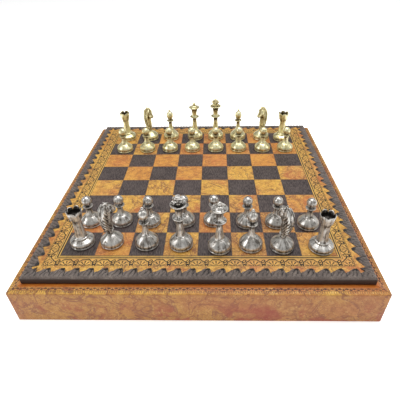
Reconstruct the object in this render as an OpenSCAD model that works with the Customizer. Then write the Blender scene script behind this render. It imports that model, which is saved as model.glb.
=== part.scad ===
// Chess set: turned and cast metal men on a padded, lace-edged board that lifts off a
// leather-covered storage case. Millimetres, +Z up, the board's near edge towards -Y.
// The origin is the centre of the underside.

/* [Case] */
// Outside width and depth of the square case
case_w = 352; // [320:1:400]
// Height of the case from the table to the top of its rim
case_h = 40; // [36:1:60]
// Radius of the case's corners and of its top edge
case_r = 2.2; // [1.2:0.1:4]
// Thickness of the wood walls
wall_t = 8; // [5:1:12]
// Thickness of the wood floor
floor_t = 4; // [3:1:8]
// Thickness of the covering on the case
skin_t = 0.8; // [0.5:0.1:1.5]
// Width of the wood rim that the board rests on
rim_w = 22; // [16:1:30]
// Thickness of the wood rim
rim_t = 4; // [3:1:6]
// Thickness of the felt under the case
felt_t = 0.8; // [0.5:0.1:2]
// Thickness of the crossed dividers inside
divider_t = 4; // [3:1:6]

/* [Board] */
// Width of one playing square
square = 34; // [30:0.5:40]
// Outside width of the board over its lacing
board_w = 330; // [300:1:345]
// Thickness of the board's printed leather face
face_t = 1; // [0.5:0.1:2]
// Thickness of the board's wood core
core_t = 6.3; // [4:0.1:9]
// Thickness of the felt under the board
backing_t = 1.2; // [0.8:0.1:2]
// Thickness of the lacing straps
lace_t = 1; // [0.6:0.1:1.5]
// Straps along each side
lace_count = 24; // [16:1:32]
// How far a strap reaches in over the board's top
lace_reach = 13; // [8:0.5:15]

/* [Men] */
// Radius of the foot of a pawn
pawn_r = 11.5; // [10:0.1:12.5]
// Radius of the foot of a king, queen or knight
major_r = 12; // [11:0.1:13]
// Thickness of the felt pad under each man
pad_t = 0.4; // [0.2:0.1:0.8]

/* [Hidden] */

glue = 0.05;
half = case_w / 2;
inner = half - skin_t;
cavity = inner - wall_t;
rim_in = half - rim_w;
z_floor = felt_t + floor_t;
z_lining = z_floor + 1;
z_top = case_h - skin_t;
z_rail = z_top - rim_t;
z_split = case_h - 3.4;
z_core = case_h + backing_t;
z_face = z_core + core_t;
z_play = z_face + face_t;
core_h = board_w / 2 - lace_t - 1;
pitch = board_w / lace_count;
divider_h = 27.7;

leather = [0.80, 0.62, 0.33];
lace_brown = [0.24, 0.17, 0.15];
felt_red = [0.36, 0.08, 0.09];
wood = [0.72, 0.58, 0.40];
gold = [0.78, 0.72, 0.42];
silver = [0.66, 0.66, 0.64];

// ---- helpers

// A square prism with rounded upright corners
module slab(h, r, z0, z1) {
  translate([0, 0, z0])
    linear_extrude(z1 - z0)
      union() {
        square([2 * h, 2 * (h - r)], center = true);
        square([2 * (h - r), 2 * h], center = true);
        for (x = [-1, 1], y = [-1, 1])
          translate([x * (h - r), y * (h - r)])
            circle(r, $fn = 32);
      }
}

// A square prism whose two upper long edges are rounded, along Y
module loaf(h, r, z1) {
  rotate([90, 0, 0])
    translate([0, 0, -h - 1])
      linear_extrude(2 * h + 2)
        union() {
          translate([-h, 0])
            square([2 * h, z1 - r]);
          translate([-h + r, 0])
            square([2 * (h - r), z1]);
          for (x = [-1, 1])
            translate([x * (h - r), z1 - r])
              circle(r, $fn = 32);
        }
}

// The case's outside shape, taken in by an inset
module case_block(inset) {
  h = half - inset;
  r = case_r - inset;
  intersection() {
    slab(h, r, 0, case_h - inset);
    loaf(h, r, case_h - inset);
    rotate([0, 0, 90])
      loaf(h, r, case_h - inset);
  }
}

module square_cut(h, z0, z1) {
  translate([-h, -h, z0])
    cube([2 * h, 2 * h, z1 - z0]);
}

// One wall of the case; the walls on X run full length
module wall(full) {
  y = full ? inner : cavity;
  intersection() {
    case_block(skin_t);
    translate([-inner, -y, z_floor])
      cube([wall_t, 2 * y, z_rail - z_floor]);
  }
}

// One rail of the rim, at -X; the left and right rails run full length
module rail(full) {
  y = full ? inner : rim_in;
  intersection() {
    case_block(skin_t);
    translate([-inner, -y, z_rail])
      cube([inner - rim_in, 2 * y, rim_t]);
  }
}

// One strap seen from above: u runs along the edge, v inwards. It slants up to a blunt tip at
// its right, where it goes down its hole, and drops steeply to the notch beside the next one
function strap(reach, w) = [
  [-0.5 * w, 0],
  [0.5 * w, 0],
  [0.5 * w, 0.5 * reach],
  [0.47 * w, 0.86 * reach],
  [0.36 * w, reach],
  [0.18 * w, reach],
  [0.04 * w, 0.9 * reach],
  [-0.28 * w, 0.64 * reach],
  [-0.5 * w, 0.54 * reach]
];

// The lacing of the near edge, mitred at both ends
module lace_row() {
  h = board_w / 2;
  w = pitch - 0.3;
  intersection() {
    for (i = [0:lace_count - 1])
      translate([-h + (i + 0.5) * pitch, -h, 0]) {
        translate([-w / 2, 0, case_h])
          cube([w, lace_t, z_play + lace_t - case_h]);
        translate([0, 0, z_play])
          linear_extrude(lace_t)
            polygon(strap(lace_reach, w));
        translate([0, 0, case_h])
          linear_extrude(backing_t)
            polygon(strap(5.5, w));
      }
    translate([0, 0, case_h - 1])
      linear_extrude(z_play - case_h + 4)
        polygon([[-h + 0.1, -h - 1], [h - 0.1, -h - 1], [h - 20, -h + 19.9], [-h + 20, -h + 19.9]]);
  }
}

module batten() {
  translate([-100, -rim_in + skin_t + 1, case_h - 6])
    cube([200, 8, 6]);
}

// Curves for the turned outlines, as lists of [radius, height]
function bez(a, c, b, n = 5) = [
  for (i = [0:n])
    let (t = i / n)
      (1 - t) * (1 - t) * a + 2 * t * (1 - t) * c + t * t * b
];

function bead(z, r, h, over, n = 6) = [
  for (i = [0:n])
    [r - over + over * sin(180 * i / n), z + h / 2 - h / 2 * cos(180 * i / n)]
];

function ball(z, r, z0, z1, n = 9) =
  let (a0 = acos((z - z0) / r), a1 = acos((z - z1) / r)) [
    for (i = [0:n])
      let (a = a0 + (a1 - a0) * i / n)
        [r * sin(a), z - r * cos(a)]
  ];

// Leaves out points that repeat the one before
function tidy(p) = [
  for (i = [0:len(p) - 1])
    if (i == 0 || norm(p[i] - p[max(0, i - 1)]) > 0.03)
      p[i]
];

// Plinth, groove and dome, up to the neck ring
function foot(r, rn, zn, zs) = concat(
  bead(pad_t + glue, r - 0.1, 1.6, 0.5, 4),
  [[r - 1.2, 2.3]],
  bez([r - 0.9, 2.5], [r + 0.7, 4], [r - 0.7, zs]),
  bez([r - 0.7, zs], [rn + 2.8, zn - 1.4], [rn + 0.3, zn])
);

// How much taller each kind of man stands than its outline is drawn
pawn_rise = 1.025;
bishop_rise = 1.035;
queen_rise = 1.035;
king_rise = 1.045;
rook_rise = 1.03;

function raised(p, k) = [for (q = p) [q[0], q[1] * k]];

module turn(p) {
  q = tidy(p);
  rotate_extrude($fn = 64)
    polygon(concat([[0, q[0][1]]], q, [[0, q[len(q) - 1][1]]]));
}

module pad(r) {
  cylinder(r = r, h = pad_t, $fn = 64);
}

function neck(r, z, h) = bead(z, r, h, 0.6);

pawn_line = concat(
  foot(pawn_r, 4.9, 11.4, 6.4),
  neck(5.2, 11.4, 1),
  bez([4.2, 12.4], [3, 15], [2.7, 20.4]),
  bez([2.7, 20.4], [3.2, 21.9], [4.9, 22.4]),
  bead(22.4, 5.4, 0.9, 0.5),
  [[3.4, 23.3]],
  ball(29, 5.2, 24.9, 34.15)
);

bishop_line = concat(
  foot(11.9, 4.6, 13.2, 6.8),
  neck(4.9, 13.2, 1),
  bez([4, 14.2], [2.6, 18], [2.4, 26]),
  bez([2.4, 26], [2.8, 27.4], [5, 28]),
  bead(28, 5.5, 0.9, 0.5),
  [[3, 29], [2.3, 30]],
  bez([2.3, 30], [4.9, 33.5], [5, 37]),
  bez([5, 37], [4.9, 40.4], [1.2, 42.2]),
  ball(43.8, 1.7, 42.6, 45.45, 6)
);

// Foot, stem and collar shared by the king and the queen
function stalk(r, z) = concat(
  foot(r, 5.4, 12.6, 7),
  neck(5.8, 12.6, 1),
  bez([4.9, 13.6], [3.5, 19], [2.8, z - 2.4]),
  bez([2.8, z - 2.4], [3.2, z - 0.8], [6, z]),
  bead(z, 6.9, 1.1, 0.6),
  bez([5.2, z + 1.1], [3.5, z + 1.5], [3.3, z + 3])
);

queen_line = concat(
  stalk(11.8, 33.8),
  bez([3.3, 36.8], [3.5, 41.5], [4.8, 46.2]),
  bez([4.8, 46.2], [5.6, 47.3], [7.2, 47.6]),
  bead(47.6, 8, 1.3, 0.6),
  bez([6.4, 48.8], [5.2, 48.8], [4.4, 49.5]),
  bez([4.4, 49.5], [3, 51], [1.3, 51.4]),
  ball(53.2, 2.3, 51.4, 55.45, 7)
);

king_line = concat(
  stalk(major_r, 34.3),
  bez([3.3, 37.4], [3.5, 42.5], [4.9, 47.6]),
  bez([4.9, 47.6], [5.7, 48.7], [7.3, 49]),
  bead(49, 8.1, 1.2, 0.6),
  bez([6.6, 50], [4.4, 48.6], [0.5, 48.6])
);

rook_line = concat(
  foot(12.2, 7.1, 8.6, 6.2),
  bead(8.6, 7.6, 2, 1),
  bez([6, 10.7], [4.7, 14], [4.5, 28]),
  bez([4.5, 28], [4.6, 30], [5.6, 31.6]),
  bez([5.6, 31.6], [6.9, 34.5], [7.5, 42]),
  [[6.5, 42], [5.4, 35.4], [0.5, 34.4]]
);

knight_line = concat(
  foot(11.8, 3.1, 13, 7),
  bead(13, 3.5, 1.1, 0.5),
  [[2.9, 14.2], [2.9, 16]]
);

module pawn(c) {
  color(c) {
    pad(pawn_r - 1);
    turn(raised(pawn_line, pawn_rise));
  }
}

module bishop(c) {
  color(c) {
    pad(10.9);
    turn(raised(bishop_line, bishop_rise));
  }
}

module queen(c) {
  color(c) {
    pad(10.8);
    turn(raised(queen_line, queen_rise));
  }
}

// A rosette cross stands in the king's cup
module rosette() {
  for (p = [[0, 0, 2.4], [-2.7, 0, 2.3], [2.7, 0, 2.3], [0, 2.9, 2.3]])
    translate([p[0], 1.7, 55.3 * king_rise + p[1]])
      rotate([90, 0, 0])
        cylinder(r = p[2], h = 3.4, $fn = 32);
  translate([0, 0, 48 * king_rise])
    cylinder(r1 = 3, r2 = 1.7, h = 6, $fn = 32);
}

module king(c) {
  color(c) {
    pad(major_r - 1);
    union() {
      turn(raised(king_line, king_rise));
      rosette();
    }
  }
}

module rook(c) {
  color(c) {
    pad(11.2);
    difference() {
      turn(raised(rook_line, rook_rise));
      for (a = [0:60:300])
        rotate([0, 0, a + 30])
          translate([3, 0, 42.4 * rook_rise])
            rotate([0, 90, 0])
              cylinder(r = 2.1, h = 8, $fn = 24);
    }
  }
}

// Side and front outlines of the horse's head, which looks towards +X
head_side = [
  [-2.8, 15], [2.8, 15], [3.4, 19.5], [3.8, 23], [3.5, 27.5], [3, 32], [3.5, 35], [5.2, 36.2],
  [7.4, 35.8], [9.6, 36], [10.9, 37.8], [10.8, 40.4], [8.9, 43.2], [7, 45.8], [5.4, 48.4],
  [3.4, 49.8], [0.4, 50.8], [-2.4, 50.2], [-5.2, 47.4], [-7.4, 43], [-8.6, 37.6], [-8.6, 31],
  [-7.4, 24.8], [-5.5, 19.8], [-3.6, 16.2]
];
head_front = [
  [-3, 15], [3, 15], [3.2, 19], [3.7, 24], [4.1, 32], [4.1, 40], [3.6, 45.5], [2.4, 49.4],
  [1.2, 51], [-1.2, 51], [-2.4, 49.4], [-3.6, 45.5], [-4.1, 40], [-4.1, 32], [-3.7, 24],
  [-3.2, 19]
];

module head() {
  intersection() {
    translate([0, 6, 0])
      rotate([90, 0, 0])
        linear_extrude(12)
          polygon(head_side);
    translate([-14, 0, 0])
      rotate([90, 0, 90])
        linear_extrude(28)
          polygon(head_front);
  }
  translate([0.2, 0, 18])
    rotate([0, -35, 0])
      cylinder(r = 4.3, h = 1, center = true, $fn = 48);
}

module knight(c, turned) {
  color(c) {
    pad(10.8);
    union() {
      turn(knight_line);
      rotate([0, 0, turned])
        head();
    }
  }
}

// Stands a man on a square, counted from the near left corner, moved off its centre
module at(file, rank, dx, dy) {
  translate([(file - 3.5) * square + dx, (rank - 3.5) * square + dy, z_play])
    children();
}

// ---- case

module base_felt() {
  color(felt_red)
    slab(half - 4, 2, 0, felt_t);
}

module floor_panel() {
  color(wood)
    intersection() {
      case_block(skin_t);
      square_cut(half, felt_t, z_floor);
    }
}

module left_wall() {
  color(wood)
    wall(true);
}

module right_wall() {
  color(wood)
    mirror([1, 0, 0])
      wall(true);
}

module front_wall() {
  color(wood)
    rotate([0, 0, 90])
      wall(false);
}

module back_wall() {
  color(wood)
    rotate([0, 0, -90])
      wall(false);
}

module left_rail() {
  color(wood)
    rail(true);
}

module right_rail() {
  color(wood)
    rotate([0, 0, 180])
      rail(true);
}

module front_rail() {
  color(wood)
    rotate([0, 0, 90])
      rail(false);
}

module back_rail() {
  color(wood)
    rotate([0, 0, -90])
      rail(false);
}

module side_covering() {
  color(leather)
    intersection() {
      difference() {
        case_block(0);
        case_block(skin_t);
      }
      square_cut(half + 1, felt_t, z_split);
    }
}

module rim_covering() {
  color(leather) {
    difference() {
      intersection() {
        case_block(0);
        square_cut(half + 1, z_split, case_h);
      }
      case_block(skin_t);
      square_cut(rim_in - skin_t, z_split, case_h + 1);
    }
    difference() {
      square_cut(rim_in, z_rail, z_top);
      square_cut(rim_in - skin_t, z_rail - 1, z_top + 1);
    }
  }
}

module floor_lining() {
  color(felt_red)
    square_cut(cavity, z_floor, z_lining);
}

module wall_lining() {
  color(felt_red)
    difference() {
      square_cut(cavity, z_lining, z_rail);
      square_cut(cavity - 0.8, z_lining - 1, z_rail + 1);
    }
}

module divider_across() {
  color(felt_red)
    difference() {
      translate([-cavity + 0.8, -divider_t / 2, z_lining])
        cube([2 * cavity - 1.6, divider_t, divider_h]);
      translate([-divider_t / 2 - 0.1, -divider_t, z_lining + divider_h / 2])
        cube([divider_t + 0.2, 2 * divider_t, divider_h]);
    }
}

module divider_along() {
  color(felt_red)
    difference() {
      translate([-divider_t / 2, -cavity + 0.8, z_lining])
        cube([divider_t, 2 * cavity - 1.6, divider_h]);
      translate([-divider_t, -divider_t / 2 - 0.1, z_lining - 1])
        cube([2 * divider_t, divider_t + 0.2, divider_h / 2 + 1]);
    }
}

// ---- board

module board_backing() {
  color(felt_red)
    square_cut(core_h - 4.5, case_h, z_core);
}

module board_core() {
  color(wood)
    square_cut(core_h, z_core, z_face);
}

module board_face() {
  color(leather)
    square_cut(core_h, z_face, z_play);
}

module edge_strip() {
  color(lace_brown)
    difference() {
      square_cut(core_h + 1, z_core, z_play);
      square_cut(core_h, z_core - 1, z_play + 1);
    }
}

module front_batten() {
  color(wood)
    batten();
}

module back_batten() {
  color(wood)
    rotate([0, 0, 180])
      batten();
}

module left_batten() {
  color(wood)
    rotate([0, 0, -90])
      batten();
}

module right_batten() {
  color(wood)
    rotate([0, 0, 90])
      batten();
}

module front_lace() {
  color(lace_brown)
    lace_row();
}

module back_lace() {
  color(lace_brown)
    rotate([0, 0, 180])
      lace_row();
}

module left_lace() {
  color(lace_brown)
    rotate([0, 0, -90])
      lace_row();
}

module right_lace() {
  color(lace_brown)
    rotate([0, 0, 90])
      lace_row();
}

// ---- men

module gold_rook_a8() {
  at(0, 7, -0.5, 3)
    rook(gold);
}

module gold_knight_b8() {
  at(1, 7, 1.5, 2.5)
    knight(gold, -45);
}

module gold_bishop_c8() {
  at(2, 7, 0, 3)
    bishop(gold);
}

module gold_queen_d8() {
  at(3, 7, 3.5, 3)
    queen(gold);
}

module gold_king_e8() {
  at(4, 7, 1.5, 2.5)
    king(gold);
}

module gold_bishop_f8() {
  at(5, 7, 2, 2)
    bishop(gold);
}

module gold_knight_g8() {
  at(6, 7, 4, 1)
    knight(gold, 225);
}

module gold_rook_h8() {
  at(7, 7, 1, -3)
    rook(gold);
}

module gold_pawn_a7() {
  at(0, 6, 3, -3)
    pawn(gold);
}

module gold_pawn_b7() {
  at(1, 6, 2.5, -2)
    pawn(gold);
}

module gold_pawn_c7() {
  at(2, 6, 2, -1.5)
    pawn(gold);
}

module gold_pawn_d7() {
  at(3, 6, 1, -1.5)
    pawn(gold);
}

module gold_pawn_e7() {
  at(4, 6, 1.5, -1.5)
    pawn(gold);
}

module gold_pawn_f7() {
  at(5, 6, 1, -1)
    pawn(gold);
}

module gold_pawn_g7() {
  at(6, 6, 2, -3)
    pawn(gold);
}

module gold_pawn_h7() {
  at(7, 6, 1, -3)
    pawn(gold);
}

module silver_rook_a1() {
  at(0, 0, 0.5, 0.8)
    rook(silver);
}

module silver_knight_b1() {
  at(1, 0, -3, 1.3)
    knight(silver, 50);
}

module silver_bishop_c1() {
  at(2, 0, -1, -0.2)
    bishop(silver);
}

module silver_king_d1() {
  at(3, 0, 0, -1.7)
    king(silver);
}

module silver_queen_e1() {
  at(4, 0, 4.5, -5.8)
    queen(silver);
}

module silver_bishop_f1() {
  at(5, 0, 2, -3.2)
    bishop(silver);
}

module silver_knight_g1() {
  at(6, 0, -1, -4.7)
    knight(silver, 130);
}

module silver_rook_h1() {
  at(7, 0, 3.5, -5.8)
    rook(silver);
}

module silver_pawn_a2() {
  at(0, 1, 0.5, -0.3)
    pawn(silver);
}

module silver_pawn_b2() {
  at(1, 1, 0, 1.2)
    pawn(silver);
}

module silver_pawn_c2() {
  at(2, 1, -2.5, -0.3)
    pawn(silver);
}

module silver_pawn_d2() {
  at(3, 1, 1, 0.7)
    pawn(silver);
}

module silver_pawn_e2() {
  at(4, 1, -1, 1.2)
    pawn(silver);
}

module silver_pawn_f2() {
  at(5, 1, 0.5, -1.8)
    pawn(silver);
}

module silver_pawn_g2() {
  at(6, 1, -2, -1.8)
    pawn(silver);
}

module silver_pawn_h2() {
  at(7, 1, -2, -4.8)
    pawn(silver);
}

base_felt();
floor_panel();
front_wall();
back_wall();
left_wall();
right_wall();
front_rail();
back_rail();
left_rail();
right_rail();
side_covering();
rim_covering();
floor_lining();
wall_lining();
divider_across();
divider_along();
board_backing();
board_core();
board_face();
edge_strip();
front_batten();
back_batten();
left_batten();
right_batten();
front_lace();
back_lace();
left_lace();
right_lace();
gold_rook_a8();
gold_knight_b8();
gold_bishop_c8();
gold_queen_d8();
gold_king_e8();
gold_bishop_f8();
gold_knight_g8();
gold_rook_h8();
gold_pawn_a7();
gold_pawn_b7();
gold_pawn_c7();
gold_pawn_d7();
gold_pawn_e7();
gold_pawn_f7();
gold_pawn_g7();
gold_pawn_h7();
silver_rook_a1();
silver_knight_b1();
silver_bishop_c1();
silver_king_d1();
silver_queen_e1();
silver_bishop_f1();
silver_knight_g1();
silver_rook_h1();
silver_pawn_a2();
silver_pawn_b2();
silver_pawn_c2();
silver_pawn_d2();
silver_pawn_e2();
silver_pawn_f2();
silver_pawn_g2();
silver_pawn_h2();
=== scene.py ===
"""Chess set: cast metal men on a leather board, edged with lacing, that lies on its storage case.

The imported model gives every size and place. Lengths are metres; outlines of the men are written
in millimetres, as [radius, height] points, and scaled when a shape is made.
"""

import math

import bmesh
import bpy
from mathutils import Matrix, Vector, noise


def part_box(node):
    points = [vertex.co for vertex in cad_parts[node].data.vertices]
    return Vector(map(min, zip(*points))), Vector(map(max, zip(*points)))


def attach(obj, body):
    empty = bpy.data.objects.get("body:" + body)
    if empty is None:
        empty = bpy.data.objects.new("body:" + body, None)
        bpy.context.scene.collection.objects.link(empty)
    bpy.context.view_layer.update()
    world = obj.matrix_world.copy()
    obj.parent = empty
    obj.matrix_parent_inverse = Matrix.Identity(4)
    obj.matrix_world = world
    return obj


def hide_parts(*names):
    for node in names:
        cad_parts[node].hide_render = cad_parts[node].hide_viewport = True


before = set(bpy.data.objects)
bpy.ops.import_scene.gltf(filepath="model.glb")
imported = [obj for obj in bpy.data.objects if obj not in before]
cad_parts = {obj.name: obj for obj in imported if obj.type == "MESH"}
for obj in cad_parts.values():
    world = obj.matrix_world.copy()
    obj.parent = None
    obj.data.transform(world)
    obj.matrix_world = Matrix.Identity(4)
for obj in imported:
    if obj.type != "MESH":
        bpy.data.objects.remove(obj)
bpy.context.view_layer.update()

MM = 0.001

# ---------------------------------------------------------------- sizes taken from the frame

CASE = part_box("side_covering")
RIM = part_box("rim_covering")
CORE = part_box("board_core")
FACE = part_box("board_face")
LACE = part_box("front_lace")

CASE_HALF = CASE[1][0]
CASE_FOOT = CASE[0][2]
RIM_TOP = RIM[1][2]
PLAY = FACE[1][2]
CORE_HALF = CORE[1][0]
BOARD_HALF = -LACE[0][1]

SQUARE = 34 * MM
FIELD_HALF = 4 * SQUARE
STRAPS = 24
PITCH = 2 * BOARD_HALF / STRAPS
TOUCH = 0.1 * MM        # closer than this counts as on the same plane
UPRIGHT = 0.9           # a face whose normal rises more than this faces up

CASE_SKIN = 0.65 * MM
BOARD_SKIN = 0.95 * MM
LACE_SKIN = 0.45 * MM

# ---------------------------------------------------------------- shader helpers


def rgb(r, g, b):
    """A colour given as it looks on screen, 0 to 255, as linear light."""
    linear = [(c / 255 / 12.92 if c <= 10 else ((c / 255 + 0.055) / 1.055) ** 2.4) for c in (r, g, b)]
    return (*linear, 1.0)


class Value:
    """A number socket; an expression on it adds Math nodes."""

    def __init__(self, finish, socket):
        self.finish = finish
        self.socket = socket

    def __add__(self, other):
        return self.finish.math("ADD", self, other)

    __radd__ = __add__

    def __sub__(self, other):
        return self.finish.math("SUBTRACT", self, other)

    def __rsub__(self, other):
        return self.finish.math("SUBTRACT", other, self)

    def __mul__(self, other):
        return self.finish.math("MULTIPLY", self, other)

    __rmul__ = __mul__

    def __truediv__(self, other):
        return self.finish.math("DIVIDE", self, other)

    def __gt__(self, other):
        return self.finish.math("GREATER_THAN", self, other)

    def __abs__(self):
        return self.finish.math("ABSOLUTE", self)

    def sin(self):
        return self.finish.math("SINE", self)

    def cos(self):
        return self.finish.math("COSINE", self)

    def floor(self):
        return self.finish.math("FLOOR", self)

    def sqrt(self):
        return self.finish.math("SQRT", self)

    def most(self, other):
        return self.finish.math("MAXIMUM", self, other)

    def wrap(self, size):
        """The remainder in a repeat of the given size, from -size / 2 to size / 2."""
        return self.finish.math("WRAP", self, size / 2, -size / 2)

    def angle(self, other):
        return self.finish.math("ARCTAN2", self, other)

    def fade(self, start, end):
        """0 at start, 1 at end, smooth between; start may be the larger."""
        node = self.finish.node(
            "ShaderNodeMapRange",
            {"interpolation_type": "SMOOTHSTEP"},
            {"Value": self, "From Min": start, "From Max": end},
        )
        return Value(self.finish, node.outputs["Result"])

    def near(self, centre, reach, soft):
        """1 within reach of centre, fading to 0 over soft."""
        return abs(self - centre).fade(reach + soft, reach)


def add_node(tree, kind, settings=None, inputs=None):
    """Adds a node: its settings first, then the values or links of its sockets."""
    node = tree.nodes.new(kind)
    for key, value in (settings or {}).items():
        if key == "stops":
            ramp = node.color_ramp.elements
            while len(ramp) < len(value):
                ramp.new(0.5)
            for element, (place, colour) in zip(ramp, value):
                element.position = place
                element.color = colour
        else:
            setattr(node, key, value)
    for key, value in (inputs or {}).items():
        if isinstance(value, (Value, bpy.types.NodeSocket)):
            tree.links.new(getattr(value, "socket", value), node.inputs[key])
        else:
            node.inputs[key].default_value = value
    return node


class Finish:
    """A material built from nodes round one Principled shader."""

    def __init__(self, name, **constants):
        self.material = bpy.data.materials.new(name)
        self.material.use_nodes = True
        self.tree = self.material.node_tree
        self.tree.nodes.clear()
        self.shader = self.node("ShaderNodeBsdfPrincipled")
        self.node("ShaderNodeOutputMaterial", {}, {"Surface": self.shader.outputs["BSDF"]})
        for socket, value in constants.items():
            self.shader.inputs[socket.replace("_", " ")].default_value = value

    def node(self, kind, settings=None, inputs=None):
        return add_node(self.tree, kind, settings, inputs)

    def math(self, operation, *values):
        node = self.node("ShaderNodeMath", {"operation": operation}, dict(enumerate(values)))
        return Value(self, node.outputs[0])

    def place(self):
        """The point on the piece in millimetres, as a vector and as three numbers."""
        point = self.node("ShaderNodeTexCoord").outputs["Object"]
        scaled = self.node("ShaderNodeVectorMath", {"operation": "SCALE"}, {"Vector": point, "Scale": 1000})
        parts = self.node("ShaderNodeSeparateXYZ", {}, {"Vector": scaled.outputs[0]})
        return scaled.outputs[0], [Value(self, parts.outputs[i]) for i in range(3)]

    def join(self, x, y, z):
        return self.node("ShaderNodeCombineXYZ", {}, {0: x, 1: y, 2: z}).outputs[0]

    def stretched(self, vector, x, y, z):
        node = self.node("ShaderNodeMapping", {}, {"Vector": vector, "Scale": (x, y, z)})
        return node.outputs[0]

    def grain(self, vector, size, detail=2.0, rough=0.5, warp=0.0):
        """Soft noise whose features are about size millimetres."""
        node = self.node(
            "ShaderNodeTexNoise",
            {},
            {"Vector": vector, "Scale": 1 / size, "Detail": detail, "Roughness": rough, "Distortion": warp},
        )
        return Value(self, node.outputs["Fac"])

    def cells(self, vector, size, feature="F1"):
        node = self.node("ShaderNodeTexVoronoi", {"feature": feature}, {"Vector": vector, "Scale": 1 / size})
        return Value(self, node.outputs["Distance"])

    def mix(self, factor, a, b, blend="MIX"):
        settings = {"data_type": "RGBA", "blend_type": blend, "clamp_factor": True}
        return self.node("ShaderNodeMix", settings, {0: factor, 6: a, 7: b}).outputs[2]

    def ramp(self, factor, stops):
        return self.node("ShaderNodeValToRGB", {"stops": stops}, {"Fac": factor}).outputs["Color"]

    def attribute(self, name):
        return Value(self, self.node("ShaderNodeAttribute", {"attribute_name": name}).outputs["Fac"])

    def feed(self, socket, value):
        self.tree.links.new(getattr(value, "socket", value), self.shader.inputs[socket])

    def colour(self, value):
        self.feed("Base Color", value)

    def bump(self, height, depth):
        """Raises the surface by height, 0 to 1, times depth in millimetres."""
        node = self.node("ShaderNodeBump", {}, {"Height": height, "Distance": depth * MM})
        self.feed("Normal", node.outputs["Normal"])


# ---------------------------------------------------------------- printed leather


def map_print(finish, vector, line=1.0, red_ink=0.55):
    """An antique map's tints, coast lines, hatching and small marks, with no lettering."""
    tint = finish.grain(vector, 70, 3, 0.55)
    tints = [(0.30, rgb(206, 148, 70)), (0.46, rgb(230, 182, 84)), (0.60, rgb(214, 152, 84)),
             (0.75, rgb(236, 192, 104))]
    paper = finish.ramp(tint, tints)
    mottle = finish.grain(vector, 6, 5, 0.7)
    paper = finish.mix(mottle.fade(0.38, 0.66) * 0.55, paper, rgb(160, 98, 50))
    country = finish.grain(vector, 34, 4, 0.6, 0.6)
    red = country.fade(0.55, 0.62) * mottle.fade(0.25, 0.6)
    paper = finish.mix(red * red_ink, paper, rgb(170, 76, 56))
    coast = country.near(0.5, 0.006 * line, 0.008 * line)
    paper = finish.mix(coast * 0.65, paper, rgb(112, 70, 58))
    shade = country.near(0.515, 0.010, 0.030)
    paper = finish.mix(shade * 0.28, paper, rgb(140, 88, 60))
    river = finish.grain(vector, 17, 3, 0.6, 0.4).near(0.52, 0.006, 0.008)
    paper = finish.mix(river * 0.40, paper, rgb(120, 76, 56))
    fine = finish.grain(finish.stretched(vector, 1, 1.6, 1.6), 1.5, 2, 0.6).fade(0.56, 0.66)
    paper = finish.mix(fine * 0.58, paper, rgb(104, 62, 36))
    pale = finish.grain(vector, 2.3, 3, 0.6).fade(0.56, 0.72)
    return finish.mix(pale * 0.58, paper, rgb(252, 218, 136)), mottle


def band(value, low, high, soft=0.25):
    """1 between low and high."""
    return value.fade(low - soft, low + soft) * value.fade(high + soft, high - soft)


def leather_grain(finish, vector):
    """Fine pebbling, as a height from 0 to 1."""
    return 0.6 * finish.cells(vector, 1.1) + 0.4 * finish.grain(vector, 0.5, 2, 0.6)


def along_side(x, y):
    """How far a point is from the centre towards its nearest side, and its place along that side."""
    ax, ay = abs(x), abs(y)
    on_x = ax > ay
    return ax.most(ay), on_x * y + (1 - on_x) * x


def palmette_frieze(along, out, period, depth):
    """Dark fan-shaped leaves under arches, with scrolls between; out runs from 0 to depth."""
    u = along.wrap(period)
    v = depth * 0.93 - out
    radius = (u * u + v * v).sqrt()
    turn = u.angle(v)
    scallop = radius + 0.35 * (turn * 9).cos()
    arch = scallop.near(depth * 0.80, 0.46, 0.24)
    arch2 = scallop.near(depth * 0.64, 0.22, 0.18)
    petals = (turn * 4.5).sin().near(0, 0.40, 0.28) * band(radius, 1.9, depth * 0.56)
    heart = radius.near(1.1, 0.35, 0.25)
    w = (along + period / 2).wrap(period)
    curl_v = out - depth * 0.36
    curl = ((w * w + curl_v * curl_v).sqrt() + 0.5 * (w.angle(curl_v) * 2).sin()).near(1.45, 0.42, 0.28)
    dot_v = out - depth * 0.78
    dot = (w * w + dot_v * dot_v).sqrt().near(0, 0.95, 0.3)
    ink = arch.most(arch2 * 0.6).most(petals).most(heart).most(curl).most(dot)
    inside = band(out, 0.3, depth - 0.3)
    edge = out.near(0.25, 0.22, 0.18).most(out.near(depth - 0.2, 0.2, 0.18))
    return (ink * inside).most(edge * 0.85)


FRIEZE_START = 3.8
FRIEZE_DEPTH = 10


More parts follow.
